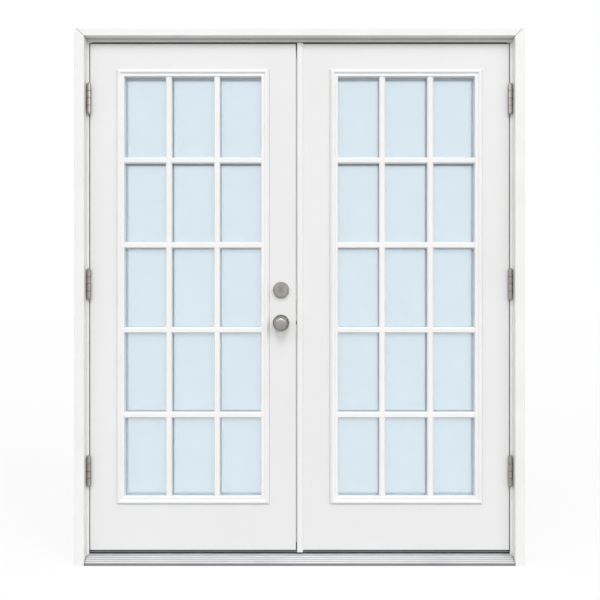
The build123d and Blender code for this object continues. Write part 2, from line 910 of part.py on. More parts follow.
for side, leaf in ((left, "active"), (right, "inactive")):
    leaf_skin(side, leaf, "outer", 0, 1)
    leaf_skin(side, leaf, "inner", leaf_thickness, -1)
    stile(side, hinge_edge, -1, f"{leaf}_hinge_stile")
    stile(side, lock_edge, 1, f"{leaf}_lock_stile")
    leaf_rails(side, leaf)
    leaf_core(side, leaf)
    glass(side, leaf)
    lite_frame(side, outside, f"{leaf}_outer_lite_frame")
    lite_frame(side, inside, f"{leaf}_inner_lite_frame")
    bottom_sweep(side, leaf)
    leaf_hinges(side, leaf)
    leaf_screws(side, leaf)

# Lock block beside the lock stile of the active leaf
with BuildPart() as lock_block:
    block(block_x, between_skins, block_z)
    cut_lock_bores()
save(lock_block, "active_lock_block")


def turned(face, level, outline, mode=Mode.ADD):
    # A turned piece on the lock centre line: radius and height off a leaf face
    out, face_y = face.z_dir.Y, face.origin.Y
    with BuildSketch(Plane((lock_across, face_y, level))) as half:
        with BuildLine():
            Polyline([(radius, out * height) for radius, height in outline], close=True)
        make_face()
    revolve(half.sketch, axis=Axis((lock_across, face_y, level), (0, 1, 0)), mode=mode)


# Knob roses on both faces
with BuildPart() as knob_roses:
    for face in (outside, inside):
        bore = neck_radius + fit
        turned(
            face,
            knob_level,
            [
                (bore, 0),
                (rose_radius, 0),
                (rose_radius, rose_thickness - rose_rim),
                (rose_radius - rose_rim, rose_thickness),
                (bore, rose_thickness),
            ],
        )
save(knob_roses, "knob_roses")


def knob_shape(face):
    # Neck, rounded head and domed front, turned on the knob centre line
    out, face_y = face.z_dir.Y, face.origin.Y
    shoulder = knob_reach - knob_length
    front = knob_reach - knob_front_dome
    dome_radius = (knob_front_radius**2 + knob_front_dome**2) / (2 * knob_front_dome)
    half_angle = math.asin(knob_front_radius / dome_radius) / 2
    dome_point = (
        dome_radius * math.sin(half_angle),
        out * (knob_reach - dome_radius * (1 - math.cos(half_angle))),
    )
    with BuildSketch(Plane((lock_across, face_y, knob_level))) as half:
        with BuildLine():
            Polyline((0, out * knob_reach), (0, 0), (neck_radius, 0), (neck_radius, out * shoulder))
            ThreePointArc(
                (neck_radius, out * shoulder),
                (knob_radius, out * (shoulder + knob_length / 2)),
                (knob_front_radius, out * front),
            )
            ThreePointArc((knob_front_radius, out * front), dome_point, (0, out * knob_reach))
        make_face()
    revolve(half.sketch, axis=Axis((lock_across, face_y, knob_level), (0, 1, 0)))


def square_spindle(width, y, mode):
    half = width / 2
    x = (lock_across - half, lock_across + half)
    block(x, y, (knob_level - half, knob_level + half), mode)


# Outer knob, socketed on the spindle of the inner knob
with BuildPart() as outer_knob:
    knob_shape(outside)
    square_spindle(spindle_width + 2 * touch, (-spindle_grip, 0), Mode.SUBTRACT)
save(outer_knob, "outer_knob")

with BuildPart() as inner_knob:
    knob_shape(inside)
    square_spindle(spindle_width, (-spindle_grip + fit, leaf_thickness), Mode.ADD)
save(inner_knob, "inner_knob")


# Tubular cases of the latch and the deadbolt, with their faceplates
def lock_case(level, channel_height, channel_width, channel_length, name):
    with BuildPart() as case:
        plate_z = (level - faceplate_height / 2, level + faceplate_height / 2)
        block(faceplate_x, faceplate_y, plate_z)
        tube_x = (-lock_edge - case_length, -lock_edge)
        rod_along_x(leaf_middle, level, case_radius, tube_x)
        half_width, half_height = channel_width / 2 + bolt_play, channel_height / 2 + bolt_play
        channel_y = (leaf_middle - half_width, leaf_middle + half_width)
        channel_x = (-lock_edge - channel_length - bolt_end_play, -lock_edge)
        block(channel_x, channel_y, (level - half_height, level + half_height), Mode.SUBTRACT)
        rod_along_y(lock_across, level, hub_radius, (0, leaf_thickness), Mode.SUBTRACT)
    save(case, name)


lock_case(knob_level, latch_height, latch_depth, latch_length, "latch_case")
lock_case(deadbolt_level, bolt_height, bolt_depth, bolt_length, "deadbolt_case")

# Latch bolt, thrown at rest, bevelled on the side that meets the strike first
with BuildPart() as latch_bolt:
    with BuildSketch(Plane.XY.offset(knob_level - latch_height / 2)):
        with BuildLine():
            tip = latch_throw - lock_edge
            Polyline(
                (tip - latch_length, leaf_middle - latch_depth / 2),
                (tip, leaf_middle - latch_depth / 2),
                (tip, leaf_middle - latch_depth / 2 + latch_tip),
                (tip - latch_throw + bolt_end_play, leaf_middle + latch_depth / 2),
                (tip - latch_length, leaf_middle + latch_depth / 2),
                close=True,
            )
        make_face()
    extrude(amount=latch_height)
save(latch_bolt, "latch_bolt")

# Deadbolt, drawn back at rest
with BuildPart() as deadbolt:
    block(
        (-lock_edge - bolt_length, -lock_edge),
        (leaf_middle - bolt_depth / 2, leaf_middle + bolt_depth / 2),
        (deadbolt_level - bolt_height / 2, deadbolt_level + bolt_height / 2),
    )
save(deadbolt, "deadbolt")

# Deadbolt collar outside, with the key plug in it
with BuildPart() as deadbolt_collar:
    turned(
        outside,
        deadbolt_level,
        [
            (plug_radius + fit, 0),
            (collar_base_radius, 0),
            (collar_base_radius, collar_rim),
            (collar_face_radius, collar_height),
            (plug_radius + fit, collar_height),
        ],
    )
save(deadbolt_collar, "deadbolt_collar")

tail_x = (lock_across - tail_thickness / 2, lock_across + tail_thickness / 2)
tail_z = (deadbolt_level - tail_width / 2, deadbolt_level + tail_width / 2)
with BuildPart() as key_plug:
    rod_along_y(lock_across, deadbolt_level, plug_radius, (-collar_height, plug_length - collar_height))
    keyway_x = (lock_across - keyway_width / 2, lock_across + keyway_width / 2)
    keyway_z = (deadbolt_level - keyway_height / 2, deadbolt_level + keyway_height / 2)
    block(keyway_x, (-collar_height, -collar_height + keyway_depth), keyway_z, Mode.SUBTRACT)
    block(tail_x, (plug_length - collar_height, leaf_middle - fit), tail_z)
save(key_plug, "key_plug")

# Inner cover of the deadbolt, with the thumbturn
with BuildPart() as deadbolt_cover:
    bore = turn_neck_radius + fit
    turned(
        inside,
        deadbolt_level,
        [
            (bore, 0),
            (cover_radius, 0),
            (cover_radius, cover_height - rose_rim),
            (cover_radius - rose_rim, cover_height),
            (bore, cover_height),
        ],
    )
save(deadbolt_cover, "deadbolt_cover")

with BuildPart() as thumbturn:
    neck_end = leaf_thickness + cover_height + rose_rim
    rod_along_y(lock_across, deadbolt_level, turn_neck_radius, (leaf_thickness, neck_end))
    block(tail_x, (leaf_middle + fit, leaf_thickness), tail_z)
    with BuildSketch(inside.offset(neck_end - leaf_thickness)):
        with Locations((-lock_across, deadbolt_level)):
            SlotOverall(turn_length, turn_width, rotation=90)
    extrude(amount=turn_height)
save(thumbturn, "thumbturn")

# Astragal on the meeting edge of the inactive leaf, with the channel of the flush bolts
strip_left = -lock_edge + astragal_gap
strip_z = (saddle_height + astragal_floor_gap, head_level - astragal_head_gap)
strike_y = (leaf_middle - strike_width / 2, leaf_middle + strike_width / 2)
thumb_y = (leaf_middle - thumb_depth / 2, leaf_middle + thumb_depth / 2)
bolt_sizes = ((knob_level, latch_height, latch_depth), (deadbolt_level, bolt_height, bolt_depth))


def bolt_pocket(level, height, depth, play, x, mode):
    y = (leaf_middle - depth / 2 - play, leaf_middle + depth / 2 + play)
    block(x, y, (level - height / 2 - play, level + height / 2 + play), mode)


# Levels of the ends of the flush bolts: thrown up into the head, and down into the sill
up, down = 1, -1
flush_bolt_ends = {up: strip_z[1] - fit, down: strip_z[0] + fit}

with BuildPart() as astragal:
    drip_level = saddle_height - astragal_drip
    with BuildSketch(Plane.XY.offset(drip_level)):
        with BuildLine():
            step = lock_edge - astragal_step
            Polyline(
                (strip_left, leaf_thickness),
                (strip_left, astragal_chamfer - astragal_proud),
                (strip_left + astragal_chamfer, -astragal_proud),
                (step - astragal_chamfer, -astragal_proud),
                (step, astragal_chamfer - astragal_proud),
                (step, 0),
                (lock_edge, 0),
                (lock_edge, leaf_thickness),
                close=True,
            )
        make_face()
    extrude(amount=strip_z[1] - drip_level)
    astragal_body = (-astragal_clearance, leaf_thickness)
    block((strip_left, lock_edge), astragal_body, (drip_level, strip_z[0]), Mode.SUBTRACT)
    fillet(astragal.edges().filter_by(Axis.Y).group_by(Axis.Z)[0], astragal_corner)
    block(channel_x, channel_y, strip_z, Mode.SUBTRACT)
    for level, height, depth in bolt_sizes:
        recess_x = (strip_left, strip_left + strike_thickness)
        recess_z = (level - strike_height / 2, level + strike_height / 2)
        block(recess_x, strike_y, recess_z, Mode.SUBTRACT)
        bolt_pocket(level, height, depth, strike_play, (strip_left, channel_x[1]), Mode.SUBTRACT)
    for towards, end in flush_bolt_ends.items():
        thumb_level = end - towards * thumb_from_end
        run_z = (
            thumb_level - towards * (thumb_height / 2 + fit),
            thumb_level + towards * (thumb_height / 2 + flush_bolt_travel + fit),
        )
        run_y = (thumb_y[0] - fit, thumb_y[1] + fit)
        block((strip_left, channel_x[0]), run_y, run_z, Mode.SUBTRACT)
save(astragal, "astragal")

with BuildPart() as astragal_seal:
    with BuildSketch(Plane(origin=(0, 0, strip_z[0]), x_dir=(0, 1, 0), z_dir=(0, 0, 1))) as bulb:
        seal_section(bulb_from_face, -strip_left, bulb_width, bulb_height, 1)
    extrude(bulb.sketch, amount=strip_z[1] - strip_z[0])
save(astragal_seal, "astragal_seal")

with BuildPart() as strike_plates:
    for level, height, depth in bolt_sizes:
        plate_z = (level - strike_height / 2, level + strike_height / 2)
        plate_x = (strip_left, strip_left + strike_thickness)
        block(plate_x, strike_y, plate_z)
        bolt_pocket(level, height, depth, pocket_play, plate_x, Mode.SUBTRACT)
save(strike_plates, "strike_plates")


# Flush bolts, drawn back at rest, slid by thumb pieces in the meeting edge
def flush_bolt(towards, name):
    end = flush_bolt_ends[towards]
    thumb_level = end - towards * thumb_from_end
    bolt_x = (channel_x[0] + fit, channel_x[1] - fit)
    bolt_y = (channel_y[0] + fit, channel_y[1] - fit)
    with BuildPart() as bolt:
        block(bolt_x, bolt_y, (end, end - towards * flush_bolt_length))
        thumb_z = (thumb_level - thumb_height / 2, thumb_level + thumb_height / 2)
        block((strip_left - thumb_proud, channel_centre_x), thumb_y, thumb_z)
    save(bolt, name)


flush_bolt(up, "top_flush_bolt")
flush_bolt(down, "bottom_flush_bolt")
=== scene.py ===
import bpy
import json
import math
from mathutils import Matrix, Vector


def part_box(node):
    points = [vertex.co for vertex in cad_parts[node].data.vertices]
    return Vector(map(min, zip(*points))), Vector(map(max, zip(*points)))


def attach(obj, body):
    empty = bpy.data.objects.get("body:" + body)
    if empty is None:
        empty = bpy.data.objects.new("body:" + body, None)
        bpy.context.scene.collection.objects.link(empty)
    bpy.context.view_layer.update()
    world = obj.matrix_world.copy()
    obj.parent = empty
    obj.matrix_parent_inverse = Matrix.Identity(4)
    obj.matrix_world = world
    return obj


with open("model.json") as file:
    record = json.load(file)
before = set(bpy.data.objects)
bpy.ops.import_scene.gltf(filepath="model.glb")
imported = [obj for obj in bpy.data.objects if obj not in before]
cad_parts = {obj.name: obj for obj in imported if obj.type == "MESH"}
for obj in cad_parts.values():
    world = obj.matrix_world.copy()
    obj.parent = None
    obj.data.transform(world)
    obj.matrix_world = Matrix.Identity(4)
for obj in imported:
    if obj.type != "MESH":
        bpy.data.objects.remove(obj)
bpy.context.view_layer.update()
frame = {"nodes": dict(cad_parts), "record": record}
nodes = frame["nodes"]
record = frame["record"]
print("frame loaded:", len(nodes), "nodes")


# Places read from the frame, in metres
def middleOf(node):
    low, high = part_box(node)
    return (low + high) / 2


lockX = middleOf("outer_knob").x
knobZ = middleOf("outer_knob").z
boltZ = middleOf("deadbolt_collar").z
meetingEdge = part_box("active_outer_skin")[1].x
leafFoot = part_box("active_outer_skin")[0].z


# Small helpers for node materials
class Finish:
    def __init__(self, name, color, roughness, metallic=0.0):
        self.material = bpy.data.materials.new(name)
        self.material.use_nodes = True
        self.tree = self.material.node_tree
        self.shader = self.tree.nodes["Principled BSDF"]
        self.shader.inputs["Base Color"].default_value = (*color, 1)
        self.shader.inputs["Roughness"].default_value = roughness
        self.shader.inputs["Metallic"].default_value = metallic
        self.material.diffuse_color = (*color, 1)
        self.coords = self.tree.nodes.new("ShaderNodeTexCoord")

    def add(self, kind, **values):
        node = self.tree.nodes.new(kind)
        for key, value in values.items():
            setattr(node, key, value)
        return node

    def link(self, output, target):
        self.tree.links.new(output, target)

    def stretched(self, scale, place=(0, 0, 0)):
        # object coordinates, moved to a place and stretched
        mapping = self.add("ShaderNodeMapping", vector_type="TEXTURE")
        mapping.inputs["Location"].default_value = place
        mapping.inputs["Scale"].default_value = tuple(1 / value for value in scale)
        self.link(self.coords.outputs["Object"], mapping.inputs["Vector"])
        return mapping.outputs["Vector"]

    def noise(self, vector, scale, detail=3.0, rough=0.5, distortion=0.0):
        node = self.add("ShaderNodeTexNoise")
        node.inputs["Scale"].default_value = scale
        node.inputs["Detail"].default_value = detail
        node.inputs["Roughness"].default_value = rough
        node.inputs["Distortion"].default_value = distortion
        self.link(vector, node.inputs["Vector"])
        return node.outputs["Fac"]

    def ramp(self, factor, stops):
        node = self.add("ShaderNodeValToRGB")
        elements = node.color_ramp.elements
        while len(elements) < len(stops):
            elements.new(0.5)
        for element, (position, color) in zip(elements, stops):
            element.position = position
            element.color = (*color, 1)
        self.link(factor, node.inputs["Fac"])
        return node.outputs["Color"]

    def spread(self, factor, low, high):
        node = self.add("ShaderNodeMapRange")
        node.inputs["From Min"].default_value = 0.3
        node.inputs["From Max"].default_value = 0.7
        node.inputs["To Min"].default_value = low
        node.inputs["To Max"].default_value = high
        self.link(factor, node.inputs["Value"])
        return node.outputs["Result"]

    def mixColor(self, factor, first, second, blend="MIX"):
        node = self.add("ShaderNodeMix", data_type="RGBA", blend_type=blend)
        for value, slot in ((factor, 0), (first, 6), (second, 7)):
            if isinstance(value, bpy.types.NodeSocket):
                self.link(value, node.inputs[slot])
            elif slot == 0:
                node.inputs[slot].default_value = value
            else:
                node.inputs[slot].default_value = (*value, 1)
        return node.outputs[2]

    def bump(self, height, strength, distance, before=None):
        node = self.add("ShaderNodeBump")
        node.inputs["Strength"].default_value = strength
        node.inputs["Distance"].default_value = distance
        self.link(height, node.inputs["Height"])
        if before is not None:
            self.link(before, node.inputs["Normal"])
        return node.outputs["Normal"]

    def softEdge(self, radius):
        # eased arrises, without touching the mesh
        node = self.add("ShaderNodeBevel", samples=6)
        node.inputs["Radius"].default_value = radius
        return node.outputs["Normal"]

    def math(self, operation, first, second=0.0, third=0.0):
        node = self.add("ShaderNodeMath", operation=operation)
        for value, slot in zip((first, second, third), node.inputs):
            if isinstance(value, bpy.types.NodeSocket):
                self.link(value, slot)
            else:
                slot.default_value = value
        return node.outputs[0]

    def axes(self):
        split = self.add("ShaderNodeSeparateXYZ")
        self.link(self.coords.outputs["Object"], split.inputs["Vector"])
        return split.outputs["X"], split.outputs["Y"], split.outputs["Z"]

    def band(self, value, low, high):
        # 1 between two values, 0 elsewhere
        return self.math("COMPARE", value, (low + high) / 2, (high - low) / 2)

    def shaded(self, tone, mask, share):
        # the tone, dulled to a share of itself where the mask is 1
        return self.mixColor(mask, tone, self.mixColor(1.0, tone, (share,) * 3, "MULTIPLY"))

    def color(self, output):
        self.link(output, self.shader.inputs["Base Color"])

    def roughness(self, output):
        self.link(output, self.shader.inputs["Roughness"])

    def normal(self, output):
        self.link(output, self.shader.inputs["Normal"])


def dress(material, *names):
    # give CAD nodes or pieces a material on every slot they have
    for name in names:
        piece = nodes.get(name) or bpy.data.objects[name]
        if not piece.material_slots:
            piece.data.materials.append(material)
        for slot in piece.material_slots:
            slot.material = material


# Paints and mouldings
paint = {
    "timberColor": (0.87, 0.87, 0.862),
    "timberShade": (0.83, 0.83, 0.82),
    "timberRoughness": (0.36, 0.5),
    "skinColor": (0.80, 0.802, 0.80),
    "skinShade": (0.775, 0.777, 0.772),
    "skinRoughness": (0.34, 0.46),
    "edgeLine": 0.0009,
    "edgeShadeShare": 0.5,
    "astragalLine": 0.0016,
    "footLine": 0.0016,
    "footShadeShare": 0.15,
    "jointLine": 0.0010,
    "jointShare": 0.3,
    "cornerShadeShare": 0.7,
    "mouldingColor": (0.87, 0.872, 0.87),
    "mouldingShade": (0.845, 0.845, 0.84),
    "mouldingRoughness": (0.3, 0.4),
    "astragalColor": (0.835, 0.835, 0.83),
    "spacerColor": (0.86, 0.865, 0.87),
    "beadColor": (0.50, 0.50, 0.495),
}


def paintedTimber(name, along, mitre=None, corner=None):
    # mitre: where the joint starts, as distance across and height, and its rise over its run
    # corner: height and depth of an inner corner that gets painted shade
    # primed and painted timber: faint grain and brush marks that run along the piece
    finish = Finish(name, paint["timberColor"], 0.42)
    grainScale = [1.0, 1.0, 1.0]
    grainScale[along] = 0.035
    grain = finish.noise(finish.stretched(grainScale), 240, 5, 0.6)
    brush = finish.noise(finish.stretched(grainScale, (0.3, 0.1, 0.2)), 520, 2, 0.5)
    patches = finish.noise(finish.stretched((1, 1, 1)), 3.2, 3, 0.6)
    tone = finish.ramp(patches, [(0.35, paint["timberShade"]), (0.6, paint["timberColor"])])
    fine = finish.ramp(grain, [(0.3, (0.955, 0.955, 0.95)), (0.62, (1, 1, 1))])
    body = finish.mixColor(0.55, tone, fine, "MULTIPLY")
    across, depth, height = finish.axes()
    if mitre:
        run = finish.math("SUBTRACT", finish.math("ABSOLUTE", across), mitre[0])
        rise = finish.math("SUBTRACT", height, mitre[1])
        away = finish.math("ABSOLUTE", finish.math("SUBTRACT", rise, finish.math("MULTIPLY", run, mitre[2])))
        joint = finish.math("LESS_THAN", away, paint["jointLine"] * math.hypot(1, mitre[2]))
        joint = finish.math("MULTIPLY", joint, finish.math("GREATER_THAN", run, -0.002))
        body = finish.shaded(body, joint, paint["jointShare"])
    if corner:
        # painted shade in the inner corner: darkest at the corner's level, fading out over the given height, within
        # the given depth
        near = finish.add("ShaderNodeMapRange", interpolation_type="SMOOTHSTEP")
        finish.link(finish.math("ABSOLUTE", finish.math("SUBTRACT", height, corner[0])), near.inputs["Value"])
        near.inputs["From Max"].default_value = corner[1]
        near.inputs["To Min"].default_value = 1.0
        near.inputs["To Max"].default_value = 0.0
        inner = finish.math("MULTIPLY", near.outputs["Result"], finish.band(depth, -corner[2], 0.001))
        body = finish.shaded(body, inner, paint["cornerShadeShare"])
    finish.color(body)
    finish.roughness(finish.spread(brush, *paint["timberRoughness"]))
    edges = finish.softEdge(0.0009)
    strokes = finish.bump(brush, 0.22, 0.0004, edges)
    finish.normal(finish.bump(grain, 0.3, 0.0006, strokes))
    return finish.material


def steelSkin():
    # factory primer on pressed steel: very fine orange peel, slow ripple of the sheet
    finish = Finish("skinPaint", paint["skinColor"], 0.4)
    flat = finish.stretched((1, 1, 1))
    peel = finish.noise(flat, 900, 2, 0.5)
    ripple = finish.noise(flat, 5.5, 2, 0.4)
    patches = finish.noise(finish.stretched((1, 1, 0.6), (0.4, 0, 0.1)), 2.4, 4, 0.6)
    tone = finish.ramp(patches, [(0.3, paint["skinShade"]), (0.62, paint["skinColor"])])
    # narrow lines of painted shade: along the edge beside the other leaf, and along the foot
    edge = finish.band(finish.axes()[0], meetingEdge - paint["edgeLine"], meetingEdge + 0.001)
    foot = finish.band(finish.axes()[2], leafFoot - 0.001, leafFoot + paint["footLine"])
    tone = finish.shaded(tone, foot, paint["footShadeShare"])
    finish.color(finish.shaded(tone, edge, paint["edgeShadeShare"]))
    finish.roughness(finish.spread(patches, *paint["skinRoughness"]))
    edges = finish.softEdge(0.0008)
    waves = finish.bump(ripple, 0.12, 0.002, edges)
    finish.normal(finish.bump(peel, 0.16, 0.0002, waves))
    return finish.material


def liteMoulding():
    # moulded frame and grille: fine even grain, a touch glossier than the skins
    finish = Finish("liteMouldingWhite", paint["mouldingColor"], 0.34)
    flat = finish.stretched((1, 1, 1))
    grain = finish.noise(flat, 1400, 2, 0.6)
    patches = finish.noise(flat, 4.0, 3, 0.5)
    finish.color(finish.ramp(patches, [(0.35, paint["mouldingShade"]), (0.6, paint["mouldingColor"])]))
    finish.roughness(finish.spread(patches, *paint["mouldingRoughness"]))
    finish.normal(finish.bump(grain, 0.12, 0.00015, finish.softEdge(0.0006)))
    return finish.material


def astragalPaint(name, base, edgeAt=None):
    # edgeAt: where the edge beside the gap stands, which gets a line of painted shade
    finish = Finish(name, base, 0.36)
    flat = finish.stretched((1, 1, 0.2))
    streaks = finish.noise(flat, 120, 3, 0.5)
    dull = tuple(0.95 * value for value in base)
    tone = finish.mixColor(0.35, base, finish.ramp(streaks, [(0.3, dull), (0.6, base)]))
    if edgeAt is not None:
        # a line of painted shade along the edge beside the gap
        edge = finish.band(finish.axes()[0], edgeAt - 0.0005, edgeAt + paint["astragalLine"])
        tone = finish.shaded(tone, edge, paint["edgeShadeShare"])
    finish.color(tone)
    finish.roughness(finish.spread(streaks, 0.32, 0.42))
    finish.normal(finish.bump(streaks, 0.1, 0.0003, finish.softEdge(0.0008)))
    return finish.material


openingLow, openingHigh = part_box("head_brickmould")
casingReach = openingHigh.x
casingLow, casingHigh = openingLow.z, openingHigh.z
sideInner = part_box("right_brickmould")[0].x
mitreLine = (sideInner, casingLow, (casingHigh - casingLow) / (casingReach - sideInner))
uprightPaint = paintedTimber("paintedUpright", 2)
# the head jamb and head casing get painted shade in the corner where they meet
headPaint = paintedTimber("paintedHead", 0, corner=(casingLow, 0.0025, 0.001))
sideCasingPaint = paintedTimber("paintedSideCasing", 2, mitre=mitreLine)
headCasingPaint = paintedTimber("paintedHeadCasing", 0, mitre=mitreLine, corner=(casingLow, 0.006, 0.010))
skinPaint = steelSkin()
mouldingWhite = liteMoulding()
dress(uprightPaint, "left_jamb", "right_jamb")
dress(sideCasingPaint, "left_brickmould", "right_brickmould")
dress(headPaint, "head_jamb")
dress(headCasingPaint, "head_brickmould")
dress(astragalPaint("astragalWhite", paint["astragalColor"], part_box("astragal")[0].x), "astragal")
spacerPale = astragalPaint("spacerPale", paint["spacerColor"])
for leaf in ("active", "inactive"):
    dress(spacerPale, f"{leaf}_glass_spacer")
    dress(skinPaint, f"{leaf}_outer_skin", f"{leaf}_inner_skin")
    dress(mouldingWhite, f"{leaf}_outer_lite_frame", f"{leaf}_inner_lite_frame")
print("paints done")

# Bare timber, foam and composite
bare = {
    "pineLight": (0.78, 0.62, 0.42),
    "pineDark": (0.58, 0.40, 0.23),
    "foamColor": (0.84, 0.77, 0.56),
    "compositeColor": (0.23, 0.20, 0.17),
}


def pine(name, along):
    finish = Finish(name, bare["pineLight"], 0.6)
    ringScale = [1.0, 1.0, 1.0]
    ringScale[along] = 0.06
    warped = finish.noise(finish.stretched(ringScale), 26, 4, 0.55, 0.6)
    fibre = finish.noise(finish.stretched([value * 0.4 if i == along else value
                                           for i, value in enumerate(ringScale)]), 420, 3, 0.6)
    rings = finish.add("ShaderNodeMath", operation="SINE")
    times = finish.add("ShaderNodeMath", operation="MULTIPLY")
    times.inputs[1].default_value = 46.0
    finish.link(warped, times.inputs[0])
    finish.link(times.outputs[0], rings.inputs[0])
    bands = finish.ramp(rings.outputs[0], [(0.05, bare["pineLight"]), (0.95, bare["pineDark"])])
    mottled = finish.mixColor(0.62, bands, bare["pineLight"])
    speckle = finish.ramp(fibre, [(0.35, (0.86, 0.82, 0.78)), (0.6, (1, 1, 1))])
    finish.color(finish.mixColor(0.6, mottled, speckle, "MULTIPLY"))
    finish.roughness(finish.spread(fibre, 0.5, 0.7))
    finish.normal(finish.bump(fibre, 0.35, 0.0005))
    return finish.material


def foam():
    finish = Finish("foamCore", bare["foamColor"], 0.85)
    cells = finish.add("ShaderNodeTexVoronoi")
    cells.inputs["Scale"].default_value = 700
    finish.link(finish.stretched((1, 1, 1)), cells.inputs["Vector"])
    finish.color(finish.ramp(cells.outputs["Distance"], [(0.1, (0.70, 0.62, 0.42)), (0.5, bare["foamColor"])]))
    finish.normal(finish.bump(cells.outputs["Distance"], 0.4, 0.0006))
    return finish.material


def composite():
    # wood-flour composite under the sill deck, drawn lengthwise
    finish = Finish("sillComposite", bare["compositeColor"], 0.7)
    streak = finish.noise(finish.stretched((0.04, 1, 1)), 300, 4, 0.6)
    flecks = finish.noise(finish.stretched((0.4, 1, 1)), 900, 2, 0.7)
    finish.color(finish.mixColor(0.5, finish.ramp(streak, [(0.3, (0.17, 0.145, 0.12)), (0.7, (0.27, 0.235, 0.2))]),
                                 finish.ramp(flecks, [(0.4, (0.2, 0.17, 0.14)), (0.62, (0.34, 0.3, 0.25))])))
    finish.roughness(finish.spread(streak, 0.6, 0.8))
    finish.normal(finish.bump(flecks, 0.3, 0.0004))
    return finish.material


uprightPine = pine("pineUpright", 2)
railPine = pine("pineRail", 0)
foamCore = foam()
for leaf in ("active", "inactive"):
    dress(uprightPine, f"{leaf}_hinge_stile", f"{leaf}_lock_stile")
    dress(railPine, f"{leaf}_rails")
    dress(foamCore, f"{leaf}_core")
dress(uprightPine, "active_lock_block")
dress(composite(), "sill_substrate")
print("timber, foam and composite done")

# Metals
metal = {
    "nickelColor": (0.385, 0.365, 0.34),
    "nickelShade": (0.275, 0.257, 0.236),
    "nickelRoughness": (0.2, 0.36),
    "aluminiumColor": (0.75, 0.76, 0.77),
    "aluminiumShade": (0.68, 0.69, 0.705),
    "aluminiumRoughness": (0.3, 0.44),
}


def satinNickel(name, grainScale, anisotropy=0.0, share=1.0):
    # share: how dark the whole metal is against plain satin nickel
    color = tuple(share * value for value in metal["nickelColor"])
    shade = tuple(share * value for value in metal["nickelShade"])
    finish = Finish(name, color, 0.28, 1.0)
    finish.shader.inputs["Anisotropic"].default_value = anisotropy
    if anisotropy:
        tangent = finish.add("ShaderNodeTangent", direction_type="RADIAL", axis="Y")
        finish.link(tangent.outputs["Tangent"], finish.shader.inputs["Tangent"])
    lines = finish.noise(finish.stretched(grainScale), 1500, 3, 0.6)
    wear = finish.noise(finish.stretched((1, 1, 1)), 60, 4, 0.6)
    worn = finish.ramp(wear, [(0.38, shade), (0.62, color)])
    finish.color(finish.mixColor(0.5, worn, color))
    finish.roughness(finish.spread(lines, *metal["nickelRoughness"]))
    finish.normal(finish.bump(lines, 0.08, 0.00006, finish.softEdge(0.0006)))
    return finish.material


def brushedAluminium(name, along, sill=None):
    finish = Finish(name, metal["aluminiumColor"], 0.36, 1.0)
    grainScale = [1.0, 1.0, 1.0]
    grainScale[along] = 0.006
    lines = finish.noise(finish.stretched(grainScale), 1300, 4, 0.6)
    clouds = finish.noise(finish.stretched((0.5, 1, 1)), 9, 4, 0.6)
    tone = finish.ramp(clouds, [(0.35, metal["aluminiumShade"]), (0.62, metal["aluminiumColor"])])
    if sill:
        across, depth, height = finish.axes()
        # painted shade on the front of the sill: bands of height darkened to their shares, some nearly black
        outer = finish.math("LESS_THAN", depth, sill["darkTo"])
        for low, high, share in sill["shadeBands"]:
            tone = finish.shaded(tone, finish.math("MULTIPLY", outer, finish.band(height, low, high)), share)
        # the grooves between the ribs of the slope get painted shade, darker than their tops
        (foot, rise), run = sill["slope"], math.hypot(*sill["slope"])
        off = finish.math("ADD", finish.math("MULTIPLY", finish.math("ADD", depth, foot), -rise / run),
                          finish.math("MULTIPLY", finish.math("SUBTRACT", height, sill["nose"]), foot / run))
        groove = finish.math("MULTIPLY", finish.band(off, -sill["ribTop"], sill["ribTop"]),
                             finish.band(depth, -foot, -sill["noseEase"]))
        tone = finish.shaded(tone, groove, sill["grooveShadeShare"])
        # painted shade on both ends of the sill's front, outward from the given distance
        ends = finish.math("GREATER_THAN", finish.math("ABSOLUTE", across), sill["endsFrom"])
        tone = finish.shaded(tone, finish.math("MULTIPLY", ends, outer), sill["endsShadeShare"])
    finish.color(tone)
    finish.roughness(finish.spread(lines, *metal["aluminiumRoughness"]))
    finish.normal(finish.bump(lines, 0.12, 0.0001, finish.softEdge(0.0005)))
    return finish.material


# painted shade on the sill: darkened bands of height near the front, darker grooves between the ribs and darker ends
sillShadeMarks = {
    "darkTo": 0.010,
    "shadeBands": [
        (-0.001, 0.0097, 0.36),
        (0.0290, 0.0337, 0.82),
        (0.0338, 0.0399, 0.03),
        (0.0400, 0.0446, 0.26),
        (0.0447, 0.0462, 0.03),
    ],
    "slope": (0.032, 0.0235),
    "nose": 0.010,
    "ribTop": 0.0006,
    "noseEase": 0.0002,
    "grooveShadeShare": 0.68,
    "endsFrom": 0.8408,
    "endsShadeShare": 0.35,
}
turnedNickel = satinNickel("nickelTurned", (1, 1, 1), 0.55)
plainNickel = satinNickel("nickelPlain", (1, 1, 0.05))
screwNickel = satinNickel("nickelScrew", (1, 1, 1))
sillAluminium = brushedAluminium("aluminiumSill", 0, sillShadeMarks)
# nickel darkened nearly to black or to half: painted shade for the rings, strike lip and key slot made below
darkNickel = satinNickel("nickelDark", (1, 1, 1), share=0.22)
ringNickel = satinNickel("nickelRing", (1, 1, 1), share=0.5)
slotDark = satinNickel("nickelSlot", (1, 1, 1), share=0.05)
dress(turnedNickel, "outer_knob", "inner_knob", "knob_roses", "deadbolt_collar", "deadbolt_cover", "key_plug")
dress(plainNickel, "thumbturn", "latch_case", "deadbolt_case", "latch_bolt", "deadbolt", "strike_plates",
      "jamb_hinge_leaves", "hinge_pins", "active_hinge_leaves", "inactive_hinge_leaves",
      "top_flush_bolt", "bottom_flush_bolt")
dress(screwNickel, "jamb_hinge_screws", "active_hinge_screws", "inactive_hinge_screws",
      "active_lite_screws", "inactive_lite_screws")
dress(sillAluminium, "sill_deck")
print("metals done")

